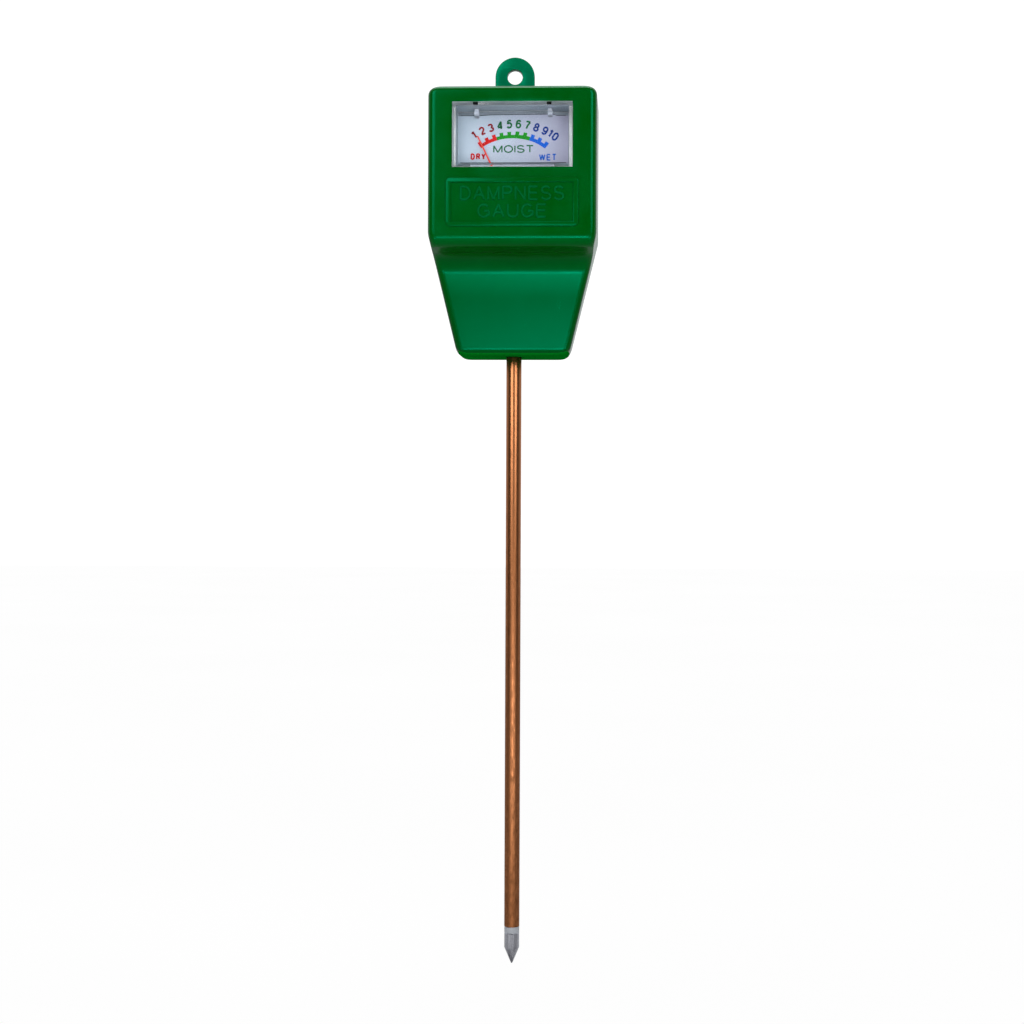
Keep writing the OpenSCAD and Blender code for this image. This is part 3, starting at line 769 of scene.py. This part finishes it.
cover = piece("clear_cover", "case", clear_plastic(),
    shaped(merged("meter_cover"), broken_edges(0.15)), crease=20)
# Slot faces take the painted shade; the walls and pegs a painted grey reflection; the outer edges
# a near-white painted highlight
for part in (dark_hollow(),
        hazy_plastic("cover_walls_painted_reflection", (0.37, 0.45, 0.50), (0.21, 0.25, 0.28)),
        hazy_plastic("cover_edges_painted_highlight", (0.93, 0.98, 0.98), (0.78, 0.84, 0.86)),
        hazy_plastic("cover_pegs_painted_reflection", (0.48, 0.52, 0.58), (0.20, 0.22, 0.25))):
    cover.data.materials.append(part)
IN_SLOT, ON_WALL, ON_EDGE, ON_PEG = 1, 2, 3, 4

peg_x = 11.65
peg_half = 1.2
peg_drop = 4
slot_half = 0.8
slot_low = lens_high.z - 1.0
slot_back = lens_low.y + 2.1
slot_face = 8               # square millimetres; the faces inside a slot are smaller
skin = 0.2                  # how near a face lies to the cover's outside
card_face = box_of("dial_card")[0].y
for face in cover.data.polygons:
    at = face.center / MM
    aside = abs(abs(at.x) - peg_x)
    in_slot = aside < slot_half and slot_low < at.z < lens_high.z - 0.15
    if in_slot and at.y < slot_back and face.area / MM ** 2 < slot_face:
        face.material_index = IN_SLOT
    elif aside < peg_half and slot_low - peg_drop < at.z < slot_low \
            and slot_back < at.y < card_face:
        face.material_index = ON_PEG
    elif abs(face.normal.y) < 0.5 and at.z > window_bottom - 1:
        outer = abs(at.x) > lens_high.x - skin or at.z > lens_high.z - skin \
            or at.z < window_bottom + 0.3
        face.material_index = ON_EDGE if outer else ON_WALL
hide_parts("meter_cover")

# ---- Dial card ----
# A stiff white card, printed in three inks with a scale from 1 to 10 in three bands and
# the words DRY, MOIST and WET. It is slid under the cover's pegs and riveted to the base.
# Its grey top band, its darkening from left to right and two black strips are painted shade.

roof_shade_heights = (76.30, 76.38)         # above these heights the card is painted grey: painted shade under the cover's roof
painted_light_across = (-15, 18)             # the card is painted darker from its left to its right: painted light falling from the left


def refinish(node, finish):
    """Gives a CAD node's own mesh a material."""
    node.data.materials.clear()
    node.data.materials.append(finish)


card_paper = Finish("card_paper")
fibres = card_paper.noise((1.2, 1.2, 1.2), 4.0, 0.6)
shades = card_paper.noise((0.07, 0.07, 0.07), 2.0)
upwards = card_paper.node("SeparateXYZ", {}, {0: card_paper.place}, "Z")
roof_shade_mask = card_paper.node("MapRange", {}, {"Value": upwards, "From Min": roof_shade_heights[0] * MM,
    "From Max": roof_shade_heights[1] * MM, "To Min": 0.0, "To Max": 1.0})
sideways = card_paper.node("SeparateXYZ", {}, {0: card_paper.place}, "X")
painted_light_falloff = card_paper.node("MapRange", {}, {"Value": sideways, "From Min": painted_light_across[0] * MM,
    "From Max": painted_light_across[1] * MM, "To Min": -0.1, "To Max": 1.0})
# The coat darkens from left to right: painted light, the left lit more than the right
coat_with_painted_light = card_paper.blended(painted_light_falloff * 0.85 + shades * 0.15, (0.40, 0.475, 0.54),
    (0.305, 0.29, 0.385))
# Above the roof-shade heights the card turns grey: painted shade under the cover's roof
refinish(frame["nodes"]["dial_card"], card_paper.coated({
    "Base Color": card_paper.blended(roof_shade_mask, coat_with_painted_light, (0.18, 0.21, 0.24)),
    "Roughness": card_paper.spread(fibres, 0.5, 0.65),
    "Normal": card_paper.bumped(fibres, 0.08, 0.02),
}))


def ink(name, colour, worn):
    """Screen-printed ink: it varies a little in strength, and its surface is slightly rough."""
    finish = Finish(name)
    patches = finish.noise((1.5, 1.5, 1.5), 3.0, 0.6)
    return finish.coated({
        "Base Color": finish.blended(finish.spread(patches, 0.0, 0.6), colour, worn),
        "Roughness": finish.spread(patches, 0.4, 0.55),
        "Specular IOR Level": 0.2,
        "Normal": finish.bumped(patches, 0.1, 0.01),
    })


inks = {
    "red_band": ink("red_band", (0.46, 0.001, 0.001), (0.54, 0.005, 0.003)),
    "green_band": ink("green_band", (0.001, 0.20, 0.002), (0.003, 0.24, 0.006)),
    "blue_band": ink("blue_band", (0.001, 0.075, 0.43), (0.003, 0.10, 0.50)),
    "red_figures": ink("red_figures", (0.22, 0.001, 0.002), (0.28, 0.004, 0.006)),
    "green_figures": ink("green_figures", (0.001, 0.095, 0.018), (0.003, 0.12, 0.028)),
    "blue_figures": ink("blue_figures", (0.001, 0.022, 0.17), (0.003, 0.035, 0.22)),
    "painted_shadow_black": ink("painted_shadow_black", (0.008, 0.008, 0.010), (0.02, 0.02, 0.022)),
}

print_back = card_face - 0.004
print_front = card_face - 0.02
scale_x, scale_z = -0.34, 51.6     # the centre that the scale is drawn round
band_radii = (17.55, 18.65)
tooth_top = 19.6
tooth_width = 1.2
tooth_root = 0.3            # how far a tooth reaches into the band
step = 7.55                 # degrees from one tooth to the next
lean = 0.9                  # the scale is printed a little askew
scale_end = 35.7
band_split = 16.8           # where one colour ends and the next starts
figure_step = 7.65
figure_height = 2.75
figure_stroke = 0.56
figure_radius = 21.9
figure_spread = 0.5         # how much further out the last figures stand
spread_angle = 35
middle_figure = 5.5


def round_the_dial(angle, radius):
    """A point on the card, at degrees clockwise from straight up."""
    a = math.radians(angle)
    return (scale_x + radius * math.sin(a), scale_z + radius * math.cos(a))


def band(start, end):
    """A piece of the scale's band between two angles."""
    angles = [start + (end - start) * k / 16 for k in range(17)]
    outline = [round_the_dial(a, band_radii[1]) for a in angles]
    outline += [round_the_dial(a, band_radii[0]) for a in reversed(angles)]
    return plate([outline], print_front, print_back)


def teeth(first, count, finish):
    """The band's teeth, one for each figure from the first angle on."""
    lengths = {"First": math.radians(first), "Step": math.radians(step), "Width": tooth_width,
        "Inner": band_radii[1] - tooth_root, "Outer": tooth_top, "Aside": scale_x,
        "Centre": scale_z, "Plane": (print_front + print_back) / 2,
        "Thickness": print_back - print_front}
    tree = Tree("scale_teeth", {"Count": ("Int", count),
        **{label: ("Float", value) for label, value in lengths.items()},
        "Finish": ("Material", finish)})
    given = tree.inputs
    points = tree.node("GeometryNodeMeshLine", None, {"Count": given["Count"],
        "Offset": (0.0, 0.0, 0.0)})
    index = tree.node("GeometryNodeInputIndex")
    angle = tree.maths("ADD", given["First"], tree.maths("MULTIPLY", index, given["Step"]))
    radius = tree.maths("MULTIPLY", tree.maths("ADD", given["Inner"], given["Outer"]), 0.5)
    x = tree.maths("ADD", given["Aside"], tree.maths("MULTIPLY", tree.maths("SINE", angle),
        radius))
    z = tree.maths("ADD", given["Centre"], tree.maths("MULTIPLY", tree.maths("COSINE", angle),
        radius))
    place = tree.node("ShaderNodeCombineXYZ", None, {"X": x, "Y": given["Plane"], "Z": z})
    placed = tree.node("GeometryNodeSetPosition", None, {"Geometry": points, "Position": place})
    size = tree.node("ShaderNodeCombineXYZ", None, {"X": given["Width"],
        "Y": given["Thickness"], "Z": tree.maths("SUBTRACT", given["Outer"], given["Inner"])})
    tooth = tree.node("GeometryNodeMeshCube", None, {"Size": size})
    turn = tree.node("ShaderNodeCombineXYZ", None, {"Y": angle})
    return tree.run(tree.node("GeometryNodeInstanceOnPoints", None,
        {"Points": placed, "Instance": tooth, "Rotation": turn}), bpy.data.meshes.new("none"))


def figure(text, angle):
    """A figure of the scale, leaning with its angle; the outer ones stand further out."""
    mesh = words(text, figure_height, None, print_front, print_back, figure_stroke)
    x, z = round_the_dial(angle, figure_radius + figure_spread * (angle / spread_angle) ** 2)
    mesh.transform(Matrix.Translation((x, 0, z)) @ Matrix.Rotation(math.radians(angle), 4, "Y"))
    return mesh


def word(text, x, z, cap, width, thick):
    """A word on the card, round its middle."""
    mesh = words(text, cap, width, print_front, print_back, thick)
    mesh.transform(Matrix.Translation((x, 0, z)))
    return mesh


def printed(name, finish, *meshes):
    """A piece of the print, in one ink."""
    made = piece(name, "case", inks[finish], *meshes)


band_ends = (lean - scale_end, lean - band_split, lean + band_split, lean + scale_end)
figures = (("red", 1, 3), ("green", 4, 4), ("blue", 8, 3))
named = {"red": word("DRY", -11.3, 63.3, 2.16, 4.9, 0.52),
    "green": word("MOIST", 0.1, 65.7, 2.55, 13.1, 0.42),
    "blue": word("WET", 11.1, 63.0, 2.16, 5.6, 0.42)}
for (colour, first, count), start, end in zip(figures, band_ends, band_ends[1:]):
    printed(colour + "_band", colour + "_band", band(start, end),
        teeth(lean + (first - middle_figure) * step, count, inks[colour + "_band"]))
    printed(colour + "_figures", colour + "_figures",
        *[figure(str(n), lean + (n - middle_figure) * figure_step)
            for n in range(first, first + count)])
    printed(colour + "_word", colour + ("_figures" if colour == "green" else "_band"),
        named[colour])

# Two thin black strips on the card are painted shadow: one under the cover's roof at the card's
# top, one just above the window's lower edge
shadow_strip_half = 17
for name, low, high in (("lower_rule", 61.0, 61.4), ("upper_rule", 76.32, 76.5)):
    outline = [(-shadow_strip_half, low), (shadow_strip_half, low), (shadow_strip_half, high), (-shadow_strip_half, high)]
    printed(name, "painted_shadow_black", plate([outline], print_front, print_back))

# ---- Probe ----
# A drawn copper tube, brushed along its length and tarnished towards the point, a white
# ring that insulates it, and a ground steel tip. All three are turned or drawn parts.


def worn_copper():
    finish = Finish("worn_copper")
    streaks = finish.noise((2.4, 2.4, 0.02), 5.0, 0.6)
    scuffs = finish.noise((0.9, 0.9, 0.35), 4.0, 0.65)
    height = finish.node("SeparateXYZ", {}, {0: finish.place}, "Z")
    low = finish.node("MapRange", {}, {"Value": height, "From Min": -190 * MM,
        "From Max": -20 * MM, "To Min": 1.0, "To Max": 0.25})
    tarnish = finish.spread(scuffs, 0.0, 1.0) * low
    bright = finish.blended(finish.spread(streaks, 0.0, 1.0), (0.42, 0.165, 0.07),
        (0.31, 0.115, 0.042))
    return finish.coated({
        "Base Color": finish.blended(tarnish * 0.8, bright, (0.11, 0.040, 0.014)),
        "Metallic": 1.0,
        "Specular Tint": (1.0, 0.85, 0.78),
        "Roughness": finish.spread(streaks * 0.4 + tarnish * 0.6, 0.30, 0.60),
        "Normal": finish.bumped(streaks * 0.85 + scuffs * 0.15, 0.12, 0.02),
    })


tube_low, tube_high = box_of("probe_tube")
tube_radius = tube_high.x
tube_bore = tube_radius - 0.5
tube_edge = 0.12
groove_radius = 2.2         # the tube is swaged where the case's foot grips it
groove_bore = 1.7
tube = piece("copper_tube", "case", worn_copper(), lathe([
    (tube_radius - tube_edge, tube_low.z), (tube_radius, tube_low.z + tube_edge),
    (tube_radius, -0.35), (2.42, -0.1), (groove_radius, 0.15), (groove_radius, 1.8),
    (tube_radius, 2.2), (tube_radius, tube_high.z - 0.1), (tube_radius - 0.1, tube_high.z),
    (tube_bore, tube_high.z), (tube_bore, 2.6), (groove_bore, 2.3), (groove_bore, -0.3),
    (tube_bore, -0.6), (tube_bore, tube_low.z)], 96, closed=True))
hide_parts("probe_tube")


def white_plastic(name, clean, aged):
    finish = Finish(name)
    clouds = finish.noise((0.4, 0.4, 0.4), 3.0)
    grain = finish.noise((5.0, 5.0, 5.0), 2.0)
    return finish.coated({
        "Base Color": finish.blended(finish.spread(clouds, 0.0, 1.0), clean, aged),
        "Roughness": finish.spread(grain, 0.38, 0.5),
        "Normal": finish.bumped(grain, 0.1, 0.03),
    })


ring_low, ring_high = box_of("insulator_ring")
tip_low, tip_high = box_of("tip_electrode")
ring_radius = ring_high.x
rod_radius = 1.0
ring_edge = 0.15
ring = piece("white_ring", "case",
    white_plastic("ring_plastic", (0.33, 0.345, 0.375), (0.27, 0.285, 0.31)), lathe([
        (rod_radius, ring_low.z), (ring_radius - ring_edge, ring_low.z),
        (ring_radius, ring_low.z + ring_edge), (ring_radius, tube_low.z - tube_edge),
        (ring_radius - tube_edge, tube_low.z), (tube_bore, tube_low.z),
        (tube_bore, ring_high.z), (rod_radius, ring_high.z)], 64, closed=True))
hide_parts("insulator_ring")

# The tip's colour runs in vertical streaks from bright to near-black: partly grinding grain,
# partly painted reflection stripes
bright_steel = metal("bright_steel", (0.68, 0.69, 0.75), (0.10, 0.10, 0.12), 0.20,
    (0.75, 0.75, 0.04), 0.015, 1.0, 1.0)
cone_top = tip_low.z + 5.3
tip = piece("steel_tip", "case", bright_steel, lathe([
    (0, tip_low.z), (0.16, tip_low.z + 0.05), (0.3, tip_low.z + 0.25),
    (ring_radius - 0.12, cone_top - 0.28), (ring_radius - 0.02, cone_top),
    (ring_radius, cone_top + 0.3), (ring_radius, tip_high.z - ring_edge),
    (ring_radius - ring_edge, tip_high.z), (0, tip_high.z)], 96),
    crease=15)
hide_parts("tip_electrode")

# ---- Needle ----
# A blade of thin aluminium, painted orange-red, pressed on to the front pivot.

needle_paint = Finish("needle_red")
brushing = needle_paint.noise((1.5, 1.5, 0.4), 3.0)
refinish(frame["nodes"]["needle"], needle_paint.coated({
    "Base Color": needle_paint.blended(needle_paint.spread(brushing, 0.0, 1.0),
        (0.66, 0.028, 0.006), (0.72, 0.05, 0.012)),
    "Roughness": needle_paint.spread(brushing, 0.3, 0.42),
    "Normal": needle_paint.bumped(brushing, 0.1, 0.02),
}))

# ---- Movement, fixings and leads ----
# What is shut inside the case: the meter's base, magnet, bridges, springs and coil, the
# rod and sleeve in the probe, and the tags and leads between them.

even = (2.5, 2.5, 2.5)
inner_finishes = {
    "white_plastic": white_plastic("base_plastic", (0.80, 0.80, 0.78), (0.68, 0.68, 0.64)),
    "plated_steel": plated_steel,
    "bright_steel": bright_steel,
    "magnet_metal": metal("magnet_metal", (0.30, 0.30, 0.31), (0.18, 0.18, 0.19), 0.42, even),
    "plain_brass": metal("plain_brass", (0.72, 0.52, 0.20), (0.50, 0.33, 0.12), 0.32, even),
    "spring_bronze": metal("spring_bronze", (0.66, 0.40, 0.20), (0.5, 0.28, 0.14), 0.28, even),
    "bare_aluminium": metal("bare_aluminium", (0.78, 0.78, 0.79), (0.6, 0.6, 0.61), 0.33, even),
    "enamelled_wire": metal("enamelled_wire", (0.52, 0.17, 0.06), (0.34, 0.10, 0.04), 0.25,
        (0.3, 9.0, 9.0), 0.05),
    "tinned_wire": metal("tinned_wire", (0.68, 0.68, 0.66), (0.5, 0.5, 0.48), 0.35, even),
    "red_insulation": ink("red_insulation", (0.50, 0.012, 0.012), (0.38, 0.02, 0.018)),
    "black_insulation": ink("black_insulation", (0.012, 0.012, 0.013), (0.03, 0.03, 0.03)),
}
for subpart in frame["record"]["subparts"]:
    node = frame["nodes"][subpart["node"]]
    if not node.hide_render and subpart["material_slot"] in inner_finishes:
        refinish(node, inner_finishes[subpart["material_slot"]])

# ---- Floor, light and camera ----
# A plain white floor that the point stands on, under soft light from the sides and above.

floor_half = 4.0
floor_mesh = bpy.data.meshes.new("floor")
floor_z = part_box("tip_electrode")[0].z
floor_mesh.from_pydata([(-floor_half, -floor_half, floor_z), (floor_half, -floor_half, floor_z),
    (floor_half, floor_half, floor_z), (-floor_half, floor_half, floor_z)], [], [(0, 1, 2, 3)])
floor_finish = Finish("floor_paper")
floor_tone = floor_finish.noise((0.004, 0.004, 0.004))
paper = floor_finish.node("BsdfPrincipled", {}, {
    "Base Color": floor_finish.blended(floor_tone, (0.44, 0.44, 0.44), (0.47, 0.47, 0.47)),
    "Roughness": 0.9})
bright = floor_finish.node("BsdfPrincipled", {}, {
    "Base Color": (0.0, 0.0, 0.0, 1.0), "Roughness": 0.9, "Specular IOR Level": 0.0,
    "Emission Color": floor_finish.blended(floor_tone, (0.98, 0.98, 0.98), (1.0, 1.0, 1.0)),
    "Emission Strength": 1.0})
floor_seen = floor_finish.node("LightPath", {}, {}, "Is Camera Ray")
floor_mesh.materials.append(floor_finish.output(
    floor_finish.node("MixShader", {}, {0: floor_seen, 1: paper, 2: bright})))
in_scene("floor", floor_mesh)

# The room is white, and dark only behind the reader
world = bpy.data.worlds.new("studio")
bpy.context.scene.world = world
world.use_nodes = True
room = world.node_tree
room.nodes.clear()


def room_node(kind, settings, sockets, output=0):
    made = room.nodes.new("ShaderNode" + kind)
    for key, value in settings.items():
        setattr(made, key, value)
    for key, value in sockets.items():
        if isinstance(value, bpy.types.NodeSocket):
            room.links.new(value, made.inputs[key])
        else:
            made.inputs[key].default_value = value
    return made.outputs[output]


way = room_node("TexCoord", {}, {}, "Generated")
forward = room_node("SeparateXYZ", {}, {0: way}, "Y")
glow = room_node("MapRange", {"interpolation_type": "SMOOTHSTEP"}, {"Value": forward,
    "From Min": -0.35, "From Max": 0.35, "To Min": 0.015, "To Max": 0.9})
dim = room_node("Background", {}, {"Color": (0.96, 0.98, 1.0, 1), "Strength": glow})
white = room_node("Background", {}, {"Color": (1, 1, 1, 1), "Strength": 1.1})
seen = room_node("LightPath", {}, {}, "Is Camera Ray")
lit = room_node("MixShader", {}, {0: seen, 1: dim, 2: white})
room.links.new(lit, room.nodes.new("ShaderNodeOutputWorld").inputs["Surface"])

middle = Vector((0, 0, 0.045))
# Each lamp's place in metres, its width and height, and its power in watts
for name, place, width, height, power in (
        ("left_softbox", (-0.40, -0.80, 0.45), 0.5, 0.5, 4.9),
        ("right_softbox", (0.50, -0.75, 0.40), 0.4, 0.4, 3.5),
        ("top_softbox", (0.0, 0.10, 0.80), 0.7, 0.3, 3.6),
        ("low_softbox", (0.03, -1.0, -0.14), 0.26, 0.06, 2.0),
        ("low_left_softbox", (-0.20, -0.52, -0.15), 0.05, 0.10, 0.25),
        ("low_right_softbox", (0.28, -0.50, -0.15), 0.05, 0.10, 0.30)):
    lamp = bpy.data.lights.new(name, "AREA")
    lamp.shape = "RECTANGLE"
    lamp.size, lamp.size_y = width, height
    lamp.energy = power
    stand = in_scene(name, lamp)
    stand.location = place
    stand.visible_camera = False
    stand.visible_transmission = False      # its light comes through the cover as shadow rays
    stand.rotation_euler = (middle - Vector(place)).to_track_quat("-Z", "Y").to_euler()

camera_data = bpy.data.cameras.new("camera")
camera_data.lens = 59.61
camera_data.sensor_width = 36
camera = in_scene("camera", camera_data)
camera_distance = 0.56
camera_azimuth = math.radians(2.1)
camera_height = -0.0511
camera_aside = -0.00046
camera_roll = math.radians(0.226)
camera.location = (camera_distance * math.sin(camera_azimuth) + camera_aside,
    -camera_distance * math.cos(camera_azimuth), camera_height)
camera.rotation_euler = (Matrix.Rotation(camera_azimuth, 4, "Z")
    @ STAND_UP @ Matrix.Rotation(camera_roll, 4, "Z")).to_euler()
bpy.context.scene.camera = camera
bpy.context.scene.view_settings.view_transform = "Standard"
